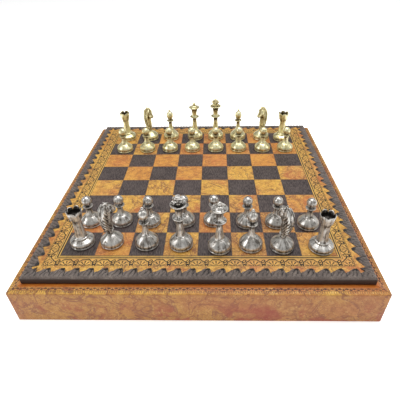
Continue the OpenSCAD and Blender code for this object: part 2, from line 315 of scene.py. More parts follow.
def board_leather():
    """The printed face: field, frame lines, frieze and plain margin, with painted shadow round the lace tips.
    """
    finish = Finish("board_leather", Roughness=0.46, Specular_IOR_Level=0.42)
    vector, (x, y, _) = finish.place()
    paper, mottle = map_print(finish, vector)
    square = SQUARE / MM
    field = FIELD_HALF / MM
    column, row = (x / square).floor(), (y / square).floor()
    light = abs((column + row).wrap(2))
    away, along = along_side(x, y)
    out = away - field
    in_field = out.fade(0.12, -0.12)
    # each light square has a tone of its own
    tone = finish.grain(finish.join(column * 7.3, row * 5.1, 0.5), 1.0, 0)
    paper = finish.mix(in_field * tone.fade(0.45, 0.66) * 0.34, paper, rgb(206, 118, 60))
    ink = finish.grain(finish.stretched(vector, 1.0, 0.16, 1), 0.9, 3, 0.6)
    haze = finish.grain(vector, 26, 3, 0.6)
    dark = finish.mix(ink.fade(0.38, 0.62), rgb(36, 29, 30), rgb(92, 80, 77))
    dark = finish.mix(haze.fade(0.35, 0.7) * 0.4, dark, rgb(100, 88, 84))
    dark = finish.mix(mottle.fade(0.5, 0.75) * 0.25, dark, rgb(60, 46, 44))
    cell_x, cell_y = (x + square / 2).wrap(square), (y + square / 2).wrap(square)
    rim = abs(cell_x).most(abs(cell_y)).fade(square / 2 - 0.5, square / 2 - 0.1)
    is_dark = in_field * (1 - light)
    paper = finish.mix(is_dark, paper, dark)
    paper = finish.mix(in_field * rim * 0.35, paper, rgb(70, 48, 40))
    gap = band(out, 0.5, 1.6, 0.15).most(band(out, 2.9, 3.8, 0.15))
    paper = finish.mix(gap * 0.6, paper, rgb(236, 194, 104))
    lines = band(out, -0.1, 0.45, 0.15).most(band(out, 1.6, 2.85, 0.15))
    paper = finish.mix(lines, paper, rgb(40, 28, 24))
    in_frieze = band(out, FRIEZE_START, FRIEZE_START + FRIEZE_DEPTH, 0.1)
    paper = finish.mix(in_frieze * 0.50, paper, rgb(236, 186, 100))
    worn = finish.grain(vector, 8, 3, 0.6).fade(0.30, 0.55)
    # painted shadow: a darker band on the margin round the lace tips and their holes, broken up by noise
    paper = finish.mix(band(out, 14.2, 17.5, 0.8) * 0.35 * (1 - worn), paper, rgb(150, 96, 52))
    frieze = palmette_frieze(along, out - FRIEZE_START, 18.1, FRIEZE_DEPTH)
    paper = finish.mix(frieze * in_frieze * (0.82 + 0.18 * worn), paper, rgb(30, 20, 18))
    finish.colour(paper)
    finish.feed("Roughness", 0.40 + 0.14 * mottle + 0.05 * is_dark)
    finish.bump(leather_grain(finish, vector), 0.10)
    return finish.material


def case_leather():
    """The covering of the case, with a narrow printed scroll along its rim, painted shade on all that lies
    below the rim's top, and a plain strip by the board painted partly as the board's shadow.
    """
    finish = Finish("case_leather", Roughness=0.5, Specular_IOR_Level=0.4)
    vector, (x, y, z) = finish.place()
    paper, mottle = map_print(finish, vector, 1.2, 0.15 + 0.70 * z.fade(34, 12))
    away, along = along_side(x, y)
    on_rim = z.fade(RIM_TOP / MM - 1.4, RIM_TOP / MM - 0.7)
    out = away - BOARD_HALF / MM
    wave = out - 5.2 - 0.9 * (along * (2 * math.pi / 6.6)).sin()
    scroll = wave.near(0, 0.34, 0.3)
    bud_u = (along + 1.65).wrap(3.3)
    bud_v = out - 5.2
    bud = (bud_u * bud_u + bud_v * bud_v).sqrt().near(0, 0.55, 0.3)
    lines = out.near(3.3, 0.18, 0.2).most(out.near(7.1, 0.18, 0.2))
    comb = (along * (2 * math.pi / 2.1)).sin().fade(0.1, 0.7) * band(out, 7.5, 9.4, 0.3)
    wear = finish.grain(vector, 11, 3, 0.6).fade(0.30, 0.55)
    # painted shade: everything below the rim's top, the walls and the lip turned down into the opening, is
    # painted darker and browner than the top
    paper = finish.mix(0.54 - 0.42 * on_rim, paper, rgb(138, 74, 40))
    blotch = finish.grain(vector, 32, 4, 0.6, 0.5).fade(0.53, 0.59) * z.fade(34, 12) * (1 - on_rim)
    paper = finish.mix(blotch * 0.55, paper, rgb(150, 58, 44))
    paper = finish.mix(on_rim * band(out, 3.2, 7.2) * 0.35, paper, rgb(196, 110, 74))
    ink = scroll.most(bud).most(lines * 0.7).most(comb * 0.6)
    paper = finish.mix(ink * on_rim * (0.62 + 0.35 * wear), paper, rgb(62, 38, 32))
    # a plain unprinted strip next to the board: partly its own amber, partly painted shadow of the board's
    # edge, hence the dark orange
    strip = on_rim * out.fade(3.4, 2.4)
    paper = finish.mix(strip * 0.8, paper, rgb(202, 104, 22))
    seam = (abs(x) - abs(y)).near(0, 0.16, 0.2) * on_rim
    paper = finish.mix(seam * 0.7, paper, rgb(90, 56, 36))
    finish.colour(paper)
    finish.feed("Roughness", 0.42 + 0.16 * mottle)
    finish.bump(leather_grain(finish, vector) - seam * 2, 0.12)
    return finish.material


def lace_leather():
    """Dark grey-brown lacing, paler on what stands proud, with painted shade in its hollows, holes and
    creases and down the board's side.
    """
    finish = Finish("lace_leather", Roughness=0.5, Specular_IOR_Level=0.5)
    vector, (_, _, z) = finish.place()
    grain = finish.grain(vector, 0.8, 4, 0.65)
    patch = finish.grain(vector, 9, 3, 0.6)
    recess = finish.attribute("recess")
    greys = [(0.34, rgb(70, 59, 55)), (0.52, rgb(105, 93, 86)), (0.68, rgb(150, 137, 126))]
    tone = finish.ramp(grain * 0.6 + patch * 0.4, greys)
    # painted shade in the hollows of the lacing
    tone = finish.mix(recess.fade(0.52, 0.72) * 0.85, tone, rgb(38, 29, 26))
    tone = finish.mix(recess.fade(0.47, 0.28) * 0.6, tone, rgb(150, 138, 128))
    # painted shade, near black, in the holes, folds, seams and creases, read from the pit attribute
    tone = finish.mix(finish.attribute("pit").fade(0.08, 0.62), tone, rgb(14, 10, 9))
    # painted shade: darker down the board's side, where the light from above does not reach
    tone = finish.mix(z.fade(PLAY / MM - 0.5, PLAY / MM - 2.5), tone, rgb(48, 32, 26))
    finish.colour(tone)
    finish.feed("Roughness", 0.42 + 0.25 * grain)
    finish.bump(grain, 0.12)
    return finish.material


def metal(name, bright, warm, tarnish_and_shade, soot_and_shade):
    """Cast metal, aged and rubbed back: bright on what stands proud, dark with patina in its hollows and with
    painted shade under what overhangs it and on faces that turn down and in.
    """
    finish = Finish(name, Metallic=0.80, Specular_IOR_Level=0.5)
    vector, _ = finish.place()
    recess = finish.attribute("recess")
    shelter = finish.attribute("shelter")
    round_axis = finish.node("ShaderNodeAttribute", {"attribute_name": "round_axis"}).outputs["Vector"]
    rubbed = finish.grain(round_axis, 0.22, 3, 0.6)
    cloud = finish.grain(vector, 4.5, 3, 0.6)
    fine = finish.grain(vector, 0.6, 3, 0.6)
    worn = 0.55 * rubbed + 0.3 * cloud + 0.15 * fine
    tone = finish.mix(worn.fade(0.40, 0.62), bright, warm)
    patches = (0.5 * rubbed + 0.5 * cloud).fade(0.42, 0.60)
    # patina in the hollows and tarnish patches, plus painted shade where shelter marks an overhang, a face
    # turned down and a face turned in
    grime_and_shade = 0.5 + 0.66 * (recess - 0.5) + 0.56 * shelter + 0.27 * (patches - 0.45) + 0.25 * (fine - 0.5)
    tarnish_and_shade_mask = grime_and_shade.fade(0.50, 0.70)
    tone = finish.mix(tarnish_and_shade_mask * 0.85, tone, tarnish_and_shade)
    # the deepest dark: black patina in hollows and painted shade under overhangs
    deep = (grime_and_shade + 0.12 * (fine - 0.5)).fade(0.70, 0.96)
    tone = finish.mix(deep * 0.9, tone, soot_and_shade)
    finish.colour(tone)
    finish.feed("Roughness", 0.25 + 0.12 * worn + 0.20 * tarnish_and_shade_mask + 0.10 * deep)
    finish.bump(0.7 * finish.grain(vector, 3.0, 1, 0.5) + 0.3 * fine, 0.08)
    return finish.material


def flock(name, deep, pale):
    """Short pile that catches the light at a slant."""
    finish = Finish(name, Roughness=0.95, Sheen_Weight=0.5, Sheen_Roughness=0.4, Specular_IOR_Level=0.15)
    vector, _ = finish.place()
    pile = finish.grain(vector, 0.5, 3, 0.7)
    nap = finish.grain(vector, 22, 2, 0.5)
    finish.colour(finish.mix(pile * 0.6 + nap * 0.5 - 0.2, deep, pale))
    finish.bump(pile, 0.25)
    return finish.material


def bare_board(name="fibreboard"):
    """Pressed fibreboard: pale brown, flecked, slightly furry at its cut edges."""
    finish = Finish(name, Roughness=0.8, Specular_IOR_Level=0.25)
    vector, _ = finish.place()
    fleck = finish.grain(vector, 0.9, 4, 0.7)
    cloud = finish.grain(vector, 14, 2, 0.5)
    browns = [(0.3, rgb(140, 106, 72)), (0.5, rgb(176, 140, 98)), (0.7, rgb(200, 166, 122))]
    finish.colour(finish.ramp(fleck * 0.6 + cloud * 0.4, browns))
    finish.bump(fleck, 0.12)
    return finish.material


BOARD_LEATHER = board_leather()
CASE_LEATHER = case_leather()
LACE_LEATHER = lace_leather()
SILVER = metal("antique_silver", rgb(228, 225, 219), rgb(162, 156, 148), rgb(78, 69, 60), rgb(20, 16, 14))
GOLD = metal("pale_gold", rgb(255, 250, 208), rgb(230, 218, 158), rgb(142, 118, 64), rgb(44, 33, 18))
RED_FELT = flock("red_felt", rgb(66, 12, 16), rgb(112, 30, 34))
RED_FLOCK = flock("red_flock", rgb(74, 14, 18), rgb(128, 34, 38))
FIBREBOARD = bare_board()

# ---------------------------------------------------------------- mesh helpers


def plain_mesh(bm, name):
    """Ends a bmesh as it stands."""
    mesh = bpy.data.meshes.new(name)
    bm.to_mesh(mesh)
    bm.free()
    return mesh


def in_scene(name, data):
    """A new object at the origin."""
    obj = bpy.data.objects.new(name, data)
    bpy.context.scene.collection.objects.link(obj)
    return obj


def verts_of(grown):
    """The points among what an operator gives back."""
    return [part for part in grown if isinstance(part, bmesh.types.BMVert)]


def mesh_from(bm, name):
    """Ends a bmesh: closes seams, turns faces out and shades smooth."""
    bmesh.ops.remove_doubles(bm, verts=bm.verts, dist=1e-7)
    bmesh.ops.recalc_face_normals(bm, faces=bm.faces)
    mesh = plain_mesh(bm, name)
    mesh.shade_smooth()
    return mesh


def store(mesh, name, kind, values):
    layer = mesh.attributes.new(name, kind, "POINT")
    layer.data.foreach_set("vector" if kind == "FLOAT_VECTOR" else "value", values)


def mark_recesses(mesh, reach, gain):
    """Stores how hollow the surface is at each point: 0.5 flat, 1 deep, 0 proud."""
    bm = bmesh.new()
    bm.from_mesh(mesh)
    bm.normal_update()
    hollow = []
    around = []
    for v in bm.verts:
        steps = [e.other_vert(v).co - v.co for e in v.link_edges]
        steps = [d for d in steps if d.length > 1e-9]
        hollow.append(sum(v.normal.dot(d) / d.length_squared for d in steps) / max(1, len(steps)))
        around.append([e.other_vert(v).index for e in v.link_edges])
    bm.free()
    for _ in range(reach):
        nearby = [sum(hollow[j] for j in near) / len(near) for near in around]
        hollow = [0.5 * own + 0.5 * mean for own, mean in zip(hollow, nearby)]
    store(mesh, "recess", "FLOAT", [0.5 + 0.5 * math.tanh(gain * h * MM) for h in hollow])


def mark_shelter(mesh, limit):
    """Stores how far each point of a standing man lies back under what is above it, faces down and faces in,
    0 to 1; the metal takes this as painted shade.

    Above limit, in millimetres, only the way a point faces counts.
    """
    places = [v.co / MM for v in mesh.vertices]
    widest = {}
    for p in places:
        level = round(p.z)
        widest[level] = max(widest.get(level, 0), math.hypot(p.x, p.y))
    shelter = []
    for p, vertex in zip(places, mesh.vertices):
        reach = math.hypot(p.x, p.y)
        if p.z < limit:
            over = max(widest.get(round(p.z) + i, 0) * (1 - 0.07 * i) for i in range(2, 9))
            inward = -(vertex.normal.x * p.x + vertex.normal.y * p.y) / max(1.0, reach)
            inward *= 0.45 if p.z > 38.5 else 1
        else:
            over = reach + 0.7
            inward = 0
        hidden = max(0.0, (over - reach) / 4) + 0.7 * max(0.0, -vertex.normal.z) + 0.9 * max(0.0, inward)
        shelter.append(min(1.0, hidden))
    store(mesh, "shelter", "FLOAT", shelter)
    turn = [math.atan2(p.y, p.x) for p in places]
    store(mesh, "round_axis", "FLOAT_VECTOR",
          [c for a, p in zip(turn, places) for c in (math.cos(a), math.sin(a), p.z / 60)])


def piece(mesh, name, body, material, slot, *nodes):
    """Puts a finished mesh in the scene, riding on a body and standing for CAD nodes."""
    obj = in_scene(name, mesh)
    if not mesh.materials:
        mesh.materials.append(material)
    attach(obj, body)
    if nodes:
        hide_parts(*nodes)
    return obj


def with_modifiers(mesh, *modifiers):
    """Applies modifiers, given as (type, settings), to a mesh in a passing object."""
    obj = in_scene("passing", mesh)
    for kind, settings in modifiers:
        modifier = obj.modifiers.new(kind.lower(), kind)
        for key, value in settings.items():
            setattr(modifier, key, value)
    graph = bpy.context.evaluated_depsgraph_get()
    result = bpy.data.meshes.new_from_object(obj.evaluated_get(graph))
    bpy.data.objects.remove(obj)
    bpy.data.meshes.remove(mesh)
    return result


def thickened(mesh, thickness, **settings):
    """Gives a skin its wall, inwards."""
    return with_modifiers(mesh, ("SOLIDIFY", {"thickness": thickness, "offset": -1.0, **settings}))


def curve(a, c, b, n=8):
    """Points of a quadratic curve from a to b, drawn towards c."""
    steps = [i / n for i in range(n + 1)]
    shares = [((1 - t) ** 2, 2 * t * (1 - t), t * t) for t in steps]
    return [tuple(i * p + j * q + k * r for p, q, r in zip(a, c, b)) for i, j, k in shares]


def bead(z, r, h, over, n=8):
    """A rounded rim of height h that starts at z."""
    turn = [math.pi * i / n for i in range(n + 1)]
    return [(r - over + over * math.sin(t), z + h / 2 - h / 2 * math.cos(t)) for t in turn]


def ball(z, r, z0, z1, n=18):
    """The part of a ball of radius r, centred at height z, from z0 to z1."""
    a0, a1 = math.acos((z - z0) / r), math.acos((z - z1) / r)
    turn = [a0 + (a1 - a0) * i / n for i in range(n + 1)]
    return [(r * math.sin(t), z - r * math.cos(t)) for t in turn]


# ---------------------------------------------------------------- outlines of the men

PAD = 0.4
LATHE_STEPS = 64


def foot(r, rn, zn, zs):
    """Plinth, groove and dome, up to the neck ring at zn."""
    return (
        [(0, PAD + 0.3), (r - 2.2, PAD + 0.3), (r - 1.6, PAD + 0.05)]
        + bead(PAD + 0.05, r - 0.1, 1.6, 0.5)
        + [(r - 1.05, 2.12), (r - 1.2, 2.3), (r - 1.05, 2.45)]
        + curve((r - 0.9, 2.55), (r + 0.7, 4), (r - 0.7, zs), 10)
        + curve((r - 0.7, zs), (rn + 2.8, zn - 1.4), (rn + 0.3, zn - 0.1), 12)
        + [(rn, zn)]
    )


def pawn_outline():
    return (
        foot(11.5, 4.9, 11.4, 6.4)
        + bead(11.4, 5.2, 1, 0.5)
        + curve((4.3, 12.5), (3, 15), (2.7, 20.4))
        + curve((2.7, 20.4), (3.2, 21.9), (4.9, 22.4))
        + bead(22.4, 5.4, 0.9, 0.45)
        + [(4.4, 23.35), (3.2, 23.6), (2.3, 24.1)]
        + ball(29, 5.2, 24.5, 34.199, 26)
    )


def bishop_outline():
    return (
        foot(11.9, 4.6, 13.2, 6.8)
        + bead(13.2, 4.9, 1, 0.5)
        + curve((4.1, 14.3), (2.6, 18), (2.4, 26))
        + curve((2.4, 26), (2.8, 27.4), (5, 28))
        + bead(28, 5.5, 0.9, 0.45)
        + [(4.4, 28.95), (2.6, 29.2), (2.1, 29.9)]
        + curve((2.3, 30.2), (4.9, 33.5), (5, 37), 12)
        + curve((5, 37), (4.9, 40.4), (1.3, 42.2), 12)
        + [(1.05, 42.45)]
        + ball(43.8, 1.7, 42.6, 45.499, 12)
    )


def stalk(r, z):
    """Foot, stem and saucer collar shared by the king and the queen."""
    return (
        foot(r, 5.4, 12.6, 7)
        + bead(12.6, 5.8, 1, 0.5)
        + curve((4.9, 13.7), (3.5, 19), (2.8, z - 2.4), 12)
        + curve((2.8, z - 2.4), (3.2, z - 0.8), (6, z))
        + bead(z, 6.9, 1.1, 0.6)
        + curve((5.8, z + 1.0), (3.7, z + 0.7), (3.3, z + 3))
    )


def queen_outline():
    return (
        stalk(11.8, 33.8)
        + curve((3.3, 36.8), (3.5, 41.5), (4.8, 46.2), 10)
        + curve((4.8, 46.2), (5.6, 47.3), (7.2, 47.6))
        + bead(47.6, 8, 1.3, 0.6)
        + curve((6.6, 48.7), (5.2, 48.4), (4.5, 49.3))
        + curve((4.5, 49.3), (3.2, 51.2), (1.3, 51.4))
        + ball(53.2, 2.3, 51.5, 55.499, 16)
    )


def king_outline():
    return (
        stalk(12, 34.3)
        + curve((3.3, 37.4), (3.5, 42.5), (4.9, 47.6), 10)
        + curve((4.9, 47.6), (5.7, 48.7), (7.3, 49))
        + bead(49, 8.1, 1.2, 0.6)
        + curve((6.8, 50.0), (4.8, 48.4), (3.4, 47.9))
        + [(0, 47.8)]
    )


def rook_outline():
    return (
        foot(12.2, 7.1, 8.6, 6.2)
        + bead(8.6, 7.6, 2, 1)
        + curve((6, 10.8), (4.7, 14), (4.5, 28), 14)
        + curve((4.5, 28), (4.6, 30), (5.6, 31.6))
        + [(5.85, 31.7), (5.95, 31.95)]
        + curve((5.95, 32.1), (6.9, 34.5), (7.3, 41.2), 12)
        + bead(41.2, 7.3, 0.8, 0.35, 4)
        + curve((6.6, 41.6), (6.4, 36.5), (5.2, 35.4), 12)
        + [(4.4, 34.9), (0, 34.6)]
    )


def knight_outline():
    return (
        foot(11.8, 3.1, 13, 7)
        + bead(13, 3.5, 1.1, 0.5)
        + curve((2.9, 14.2), (2.6, 15.4), (2.9, 17))
        + [(0, 17.2)]
    )


def turned(outline, name):
    """Spins an outline in millimetres about the upright axis."""
    bm = bmesh.new()
    clean = [p for i, p in enumerate(outline) if i == 0 or math.dist(p, outline[i - 1]) > 0.02]
    verts = [bm.verts.new((r * MM, 0, z * MM)) for r, z in clean]
    edges = [bm.edges.new(pair) for pair in zip(verts, verts[1:])]
    bmesh.ops.spin(
        bm, geom=verts + edges, cent=(0, 0, 0), axis=(0, 0, 1), angle=2 * math.pi,
        steps=LATHE_STEPS, use_merge=True,
    )
    return mesh_from(bm, name)


def lump(bm, centre, radii, tilt=0.0):
    """Adds an egg at centre, in millimetres, tilted in the plane the horse looks along."""
    place = (
        Matrix.Translation(Vector(centre) * MM)
        @ Matrix.Rotation(tilt, 4, "Y")
        @ Matrix.Diagonal((*(Vector(radii) * MM), 1))
    )
    bmesh.ops.create_icosphere(bm, subdivisions=3, radius=1, matrix=place)


def horn(bm, points, steps=5):
    """Adds a tapering lock or ear along points given as (x, y, z, radius)."""
    for a, b in zip(points, points[1:]):
        for i in range(steps + 1):
            x, y, z, radius = (u + (v - u) * i / steps for u, v in zip(a, b))
            place = Matrix.Translation(Vector((x, y, z)) * MM)
            bmesh.ops.create_icosphere(bm, subdivisions=2, radius=radius * MM, matrix=place)


# ---------------------------------------------------------------- men


def king_cross():
    """A flat rosette of rounded lobes that stands in the king's cup, front and back alike."""
    bm = bmesh.new()
    lobes = [
        ((0, 0, 57.7), (3.0, 1.5, 2.4)),
        ((-3.0, 0, 55.7), (2.3, 1.45, 2.5)),
        ((3.0, 0, 55.7), (2.3, 1.45, 2.5)),
        ((0, 0, 55.4), (2.6, 1.75, 2.4)),
        ((-1.9, 0, 52.4), (2.2, 1.5, 1.8)),
        ((1.9, 0, 52.4), (2.2, 1.5, 1.8)),
        ((0, 0, 52.4), (2.0, 1.7, 2.6)),
        ((0, 0, 49.6), (1.9, 1.7, 2.9)),
    ]
    for centre, radii in lobes:
        lump(bm, centre, radii)
    for side in (-1, 1):
        lump(bm, (0, side * 1.5, 53.3), (0.9, 0.6, 0.9))
    return merged_lumps(bm, "king_cross", 0.3, 3)


def merged_lumps(bm, name, voxel, smooth):
    """Melts overlapping lumps into one skin."""
    mesh = plain_mesh(bm, name)
    in_use = smooth > 0
    mesh = with_modifiers(
        mesh,
        ("REMESH", {"mode": "VOXEL", "voxel_size": voxel * MM}),
        ("SMOOTH", {"factor": 0.5, "iterations": smooth, "show_viewport": in_use, "show_render": in_use}),
    )
    mesh.name = name
    mesh.shade_smooth()
    return mesh


HORSE_SIDE = [
    (-2.8, 15), (0, 14.6), (2.8, 15), (3.4, 19.5), (3.8, 23), (3.5, 27.5), (3, 32), (3.5, 34.9),
    (5.2, 36.0), (7.4, 35.8), (9.6, 36), (10.9, 37.8), (10.6, 40.4), (8.9, 43.2), (7.0, 45.8), (5.4, 48.2),
    (3.4, 49.6), (0.4, 50.2), (-2.4, 49.8), (-5.2, 47.2), (-7.4, 43), (-8.5, 37.6), (-8.5, 31), (-7.3, 24.8),
    (-5.5, 19.8), (-3.6, 16.4),
]
HORSE_CREST = [(19.8, -5.4), (24.8, -7.2), (31, -8.3), (37.6, -8.3), (43, -7.2), (47.2, -5.0), (50, -2.4)]
HORSE_WIDTH = [(14, 2.9), (19, 3.1), (24, 3.5), (32, 3.9), (40, 3.9), (45.5, 3.3), (49.4, 2.4), (52, 1.8)]


def between(table, at):
    """Reads a table of (place, value) pairs, straight between its rows."""
    for (p0, v0), (p1, v1) in zip(table, table[1:]):
        if at <= p1:
            return v0 + (v1 - v0) * max(0.0, at - p0) / (p1 - p0)
    return table[-1][1]


def smooth_loop(points, steps=4):
    """A closed curve through the points."""
    loop = []
    for i in range(len(points)):
        p = [Vector(points[(i + j - 1) % len(points)]) for j in range(4)]
        for k in range(steps):
            t = k / steps
            loop.append(0.5 * (2 * p[1] + (p[2] - p[0]) * t + (2 * p[0] - 5 * p[1] + 4 * p[2] - p[3]) * t ** 2
                               + (3 * p[1] - p[0] - 3 * p[2] + p[3]) * t ** 3))
    return loop


def edge_distance(point, loop):
    """How far a point in the side view is from the outline."""
    best = 1e9
    for a, b in zip(loop, loop[1:] + loop[:1]):
        span = b - a
        t = max(0.0, min(1.0, (point - a).dot(span) / span.length_squared))
        best = min(best, (a + t * span - point).length)
    return best


def horse_half_width(x, z, loop):
    """Half the thickness of the horse at a place in its side view."""
    widest = between(HORSE_WIDTH, z)
    widest = min(widest, between([(3, widest), (7, 2.5), (11, 2.2)], x))
    depth = min(1.0, edge_distance(Vector((x, z)), loop) / 3.2)
    return widest * math.sqrt(1 - (1 - depth) ** 2)


def horse_core(loop):
    """The side outline, swelled to a rounded body."""
    bm = bmesh.new()
    face = bm.faces.new([bm.verts.new((p.x * MM, -2 * MM, p.y * MM)) for p in loop])
    grown = bmesh.ops.extrude_face_region(bm, geom=[face])["geom"]
    bmesh.ops.translate(bm, vec=(0, 4 * MM, 0), verts=verts_of(grown))
    bmesh.ops.recalc_face_normals(bm, faces=bm.faces)
    core = merged_lumps(bm, "horse_core", 0.6, 0)
    for vertex in core.vertices:
        x, y, z = vertex.co / MM
        half = horse_half_width(x, z, loop)
        vertex.co.y = max(-1.0, min(1.0, y / 1.6)) * half * MM
    return core


def horse_face(bm):
    """Jaw, muzzle, nostrils, cheek ridges, eyes and brows."""
    lump(bm, (9.1, 0, 38.5), (1.8, 2.35, 2.1), tilt=-0.5)
    for side in (-1, 1):
        lump(bm, (3.2, side * 1.9, 41.2), (3.2, 2.3, 3.7), tilt=-0.6)
        lump(bm, (7.2, side * 1.6, 41.4), (3.2, 1.0, 0.8), tilt=0.75)
        lump(bm, (10.0, side * 1.6, 39.3), (0.8, 0.9, 0.7))
        lump(bm, (5.5, side * 2.7, 45.4), (0.85, 0.6, 0.75))
        lump(bm, (5.1, side * 2.4, 46.8), (1.7, 0.8, 0.6), tilt=0.6)
        lump(bm, (5.9, side * 2.4, 44.0), (1.4, 0.6, 0.45), tilt=0.7)


def horse_mane(bm, loop):
    """Pricked ears, forelock and long wavy locks that stream down the crest and curl forward."""
    length = 15.5
    for side in (-1, 1):
        horn(bm, [(1.6, side * 1.6, 48.2, 1.3), (1.2, side * 1.9, 49.6, 0.95), (0.8, side * 2.0, 50.5, 0.4)])
        for i in range(8):
            z0 = 52.4 - 5.0 * i
            path = []
            for k in range(13):
                t = k / 12
                z = z0 - length * t
                if z > 49.4 or z < 16.6:
                    continue
                curl = 1.9 * max(0.0, t - 0.72) / 0.28
                x = between(HORSE_CREST, z) + 0.7 + 5.2 * t ** 1.15 + 0.45 * math.sin(9 * t + i) + curl
                y = max(0.45, horse_half_width(x, z, loop)) + 0.10
                path.append((x, side * y, z, 0.25 + 0.78 * math.sin(math.pi * (0.2 + 0.76 * t))))
            horn(bm, path, 3)
    ridge = []
    for i in range(60):
        z = 49.4 - 0.5 * i
        ridge.append((between(HORSE_CREST, z) + 0.75, 0, z, 0.95 + 0.28 * math.sin(z * 1.7)))
    horn(bm, ridge, 1)
    horn(bm, [(-5.4, 0, 22.4, 1.4), (-5.2, 0, 20.4, 1.0), (-4.9, 0, 18.8, 0.4)])
    horn(bm, [(1.4, 0, 49.4, 1.1), (4.2, 0, 48.8, 1.0), (6.2, 0, 46.4, 0.5)])


def horse_head():
    """The head that stands on a knight's foot."""
    loop = smooth_loop(HORSE_SIDE)
    bm = bmesh.new()
    bm.from_mesh(horse_core(loop))
    horse_face(bm)
    horse_mane(bm, loop)
    return merged_lumps(bm, "horse_head", 0.32, 2)


def horse_collar():
    """The tilted band round the base of the horse's neck."""
    collar = turned([(0, -0.45)] + bead(-0.45, 4.3, 0.9, 0.42) + [(0, 0.45)], "collar")
    tilt = Matrix.Rotation(math.radians(-35), 4, "Y")
    collar.transform(Matrix.Translation(Vector((0.2, 0, 18)) * MM) @ tilt)
    return collar


PETALS = 6


def rook_coronet(mesh):
    """Cuts the cup's rim into rounded petals and flutes the tower below them."""
    for vertex in mesh.vertices:
        x, y, z = vertex.co / MM
        if z < 30:
            continue
        around = math.atan2(y, x)
        petal = abs(math.cos(PETALS / 2 * around)) ** 0.4
        rise = min(1.0, max(0.0, (z - 35.5) / 6))
        drop = 3.6 * (1 - petal) * rise
        flare = 1 + 0.07 * rise * (petal - 0.35)
        ridge = abs(math.cos(PETALS / 2 * around + math.pi / 2)) ** 3
        outer = math.hypot(x, y) > 5.4 + 0.2 * (z - 35)
        panel = 0.05 * ridge * min(1.0, max(0.0, (z - 32) / 3)) if outer else 0.0
        grow = flare - panel
        vertex.co = Vector((x * grow, y * grow, z - drop)) * MM


def joined(name, *meshes):
    """One mesh from several shells."""
    bm = bmesh.new()
    for mesh in meshes:
        bm.from_mesh(mesh)
    result = plain_mesh(bm, name)
    result.shade_smooth()
    return result


def shape_of(kind):
    """The metal part of one kind of man, standing at the origin."""
    if kind == "knight":
        mesh = joined("knight", turned(knight_outline(), "foot"), horse_collar(), horse_head())
    elif kind == "king":
        mesh = joined("king", turned(king_outline(), "king_body"), king_cross())
    elif kind == "rook":
        mesh = turned(rook_outline(), "rook")
        rook_coronet(mesh)
    else:
        outline = {"pawn": pawn_outline, "bishop": bishop_outline, "queen": queen_outline}[kind]
        mesh = turned(outline(), kind)
    mark_recesses(mesh, 2, 1.6)
    mark_shelter(mesh, {"knight": 17, "king": 48.4}.get(kind, 99))
    mesh.transform(Matrix.Diagonal((1, 1, RISE[kind], 1)))
    return mesh


KNIGHT_TURN = {"gold_knight_b8": -45, "gold_knight_g8": 225, "silver_knight_b1": 50, "silver_knight_g1": 130}
RISE = {"pawn": 1.025, "bishop": 1.035, "queen": 1.035, "king": 1.045, "rook": 1.03, "knight": 1.0}


def men():
    """Puts every man, with its felt pad, where the frame has it."""
    shapes = {}
    for name in sorted(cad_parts):
        colour = name.split("_")[0]
        if colour not in ("gold", "silver"):
            continue
        kind = name.split("_")[1]
        if kind not in shapes:
            shapes[kind] = shape_of(kind)
        low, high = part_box(name)
        turn = KNIGHT_TURN.get(name, 37 * (len(name) + ord(name[-2])) % 60)
        place = Matrix.Translation(((low[0] + high[0]) / 2, (low[1] + high[1]) / 2, low[2]))
        if kind != "king":
            place = place @ Matrix.Rotation(math.radians(turn), 4, "Z")
        mesh = shapes[kind].copy()
        mesh.transform(place)
        metal_finish = GOLD if colour == "gold" else SILVER
        piece(mesh, name + "_cast", name, metal_finish, colour + "_metal", name)
        radius = (high[1] - low[1]) / 2 / MM
        edge = radius - 0.6
        pad = turned([(0, 0), (edge - 0.3, 0), (edge, 0.12), (edge, 0.44), (0, 0.44)], "pad")
        pad.transform(place)
        piece(pad, name + "_pad", name, RED_FELT, "felt")


# ---------------------------------------------------------------- case


def box_bmesh(half, low, high):
    """A square block centred on the upright axis."""
    bm = bmesh.new()
    size = Matrix.Diagonal((2 * half, 2 * half, high - low, 1))
    bmesh.ops.create_cube(bm, size=1, matrix=Matrix.Translation((0, 0, (low + high) / 2)) @ size)
    return bm


def cut_plane(bm, point, normal):
    bmesh.ops.bisect_plane(
        bm, geom=bm.verts[:] + bm.edges[:] + bm.faces[:], dist=1e-6, plane_co=point, plane_no=normal
    )


def round_edges(bm, keep, radius, segments=5):
    """Rounds the edges that keep picks by their two ends."""
    sharp = [e for e in bm.edges if len(e.link_faces) == 2 and e.calc_face_angle(0) > 1]
    edges = [e for e in sharp if keep(*[v.co for v in e.verts])]
    bmesh.ops.bevel(
        bm, geom=edges, offset=radius, offset_type="OFFSET", segments=segments, profile=0.5,
        affect="EDGES", material=-1,
    )


